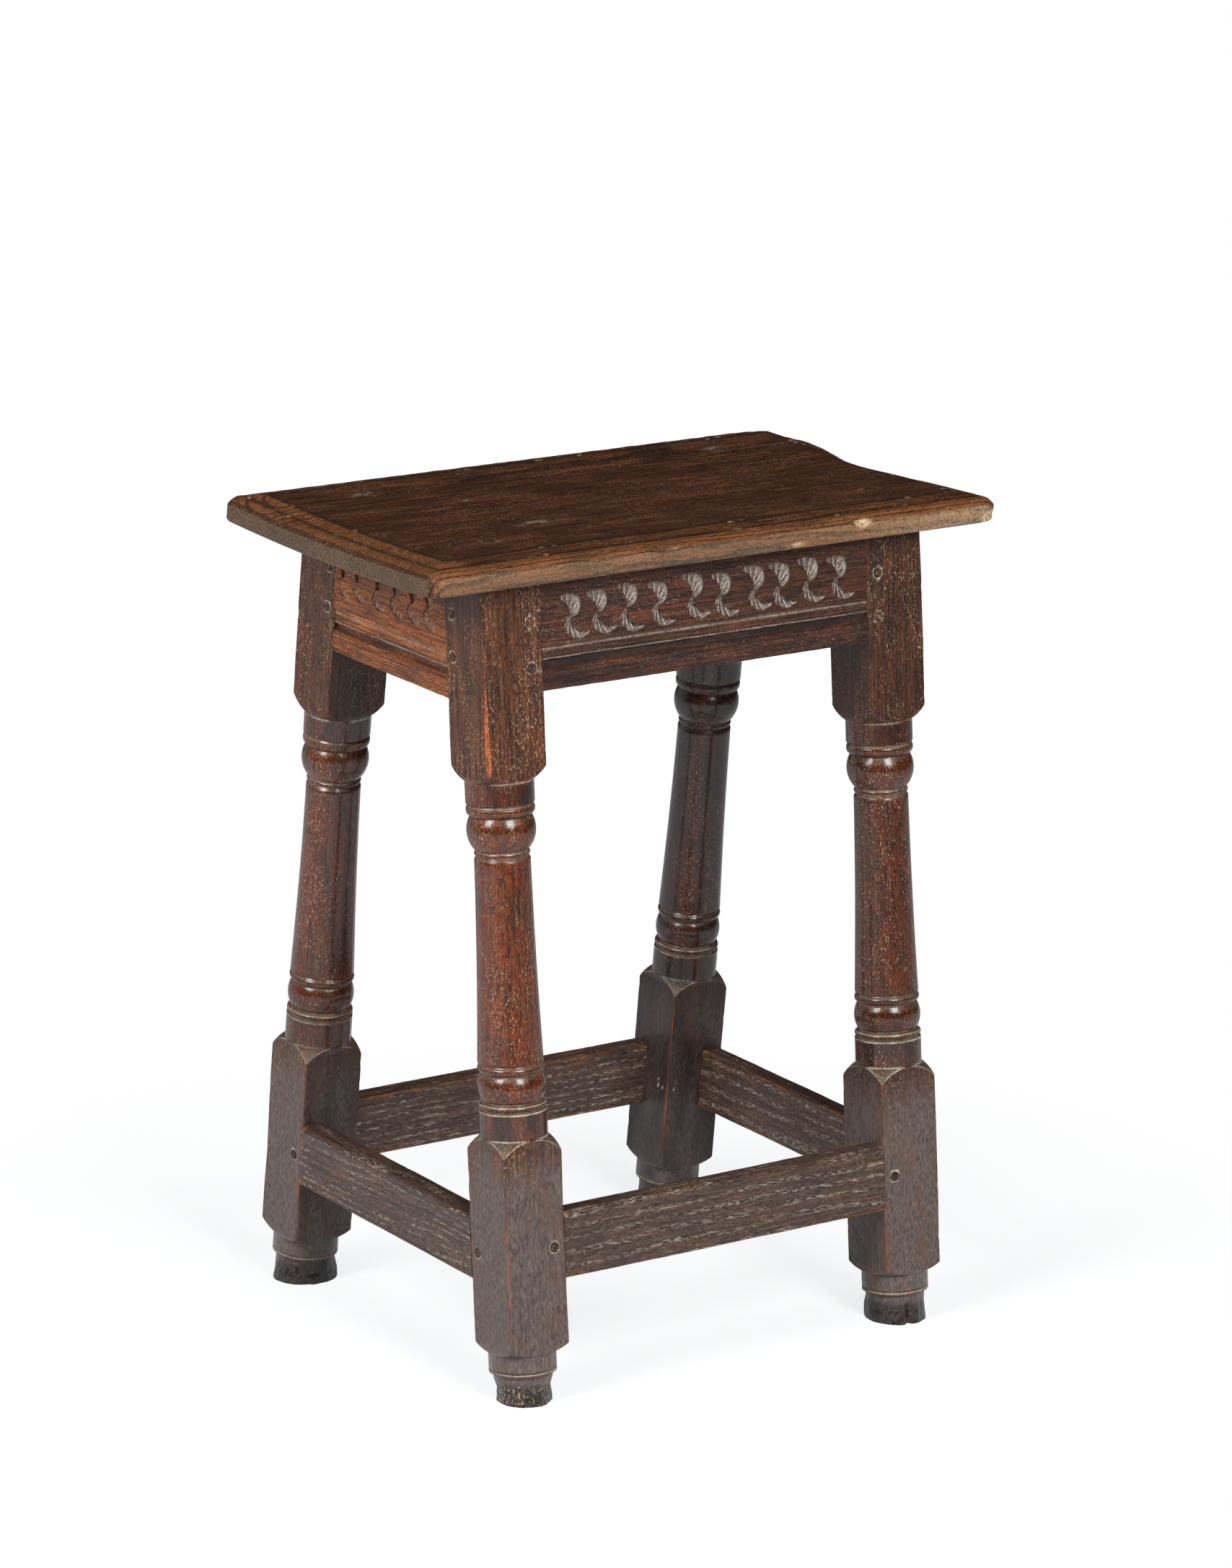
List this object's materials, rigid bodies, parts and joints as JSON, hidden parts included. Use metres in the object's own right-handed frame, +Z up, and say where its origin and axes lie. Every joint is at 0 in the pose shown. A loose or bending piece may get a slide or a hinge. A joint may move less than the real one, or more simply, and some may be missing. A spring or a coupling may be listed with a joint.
{
  "type": "joint stool",
  "caption": "Oak joint stool: moulded seat board on raked turned legs, with gouge-carved friezes, low stretchers and pegged mortise joints.",
  "frame": {"origin": "on the floor under the middle of the stool", "axes": "+Z up, X along the seat's long side, front towards -Y; the legs lean out towards -Y and +Y"},
  "size_m": [0.46, 0.3286, 0.5767],
  "materials": {
    "leg_oak": "old dark waxed oak, worn orange-brown on the arrises",
    "frieze_oak": "old dark waxed oak, grey dust in the carving",
    "stretcher_oak": "old dry dark oak, worn top edge",
    "seat_oak": "old waxed oak, dark in the middle and worn orange-brown at the moulded edge",
    "peg_oak": "end grain of riven oak, dark"
  },
  "bodies": {
    "root": {"seat_board": "seat_oak", "pegs_seat": "peg_oak", "leg_front_left": "leg_oak", "leg_front_right": "leg_oak", "leg_back_left": "leg_oak", "leg_back_right": "leg_oak", "frieze_front": "frieze_oak", "stretcher_front": "stretcher_oak", "pegs_frieze_front": "peg_oak", "pegs_stretcher_front": "peg_oak", "frieze_back": "frieze_oak", "stretcher_back": "stretcher_oak", "pegs_frieze_back": "peg_oak", "pegs_stretcher_back": "peg_oak", "frieze_left": "frieze_oak", "stretcher_left": "stretcher_oak", "pegs_frieze_left": "peg_oak", "pegs_stretcher_left": "peg_oak", "frieze_right": "frieze_oak", "stretcher_right": "stretcher_oak", "pegs_frieze_right": "peg_oak", "pegs_stretcher_right": "peg_oak"}
  },
  "joints": []
}
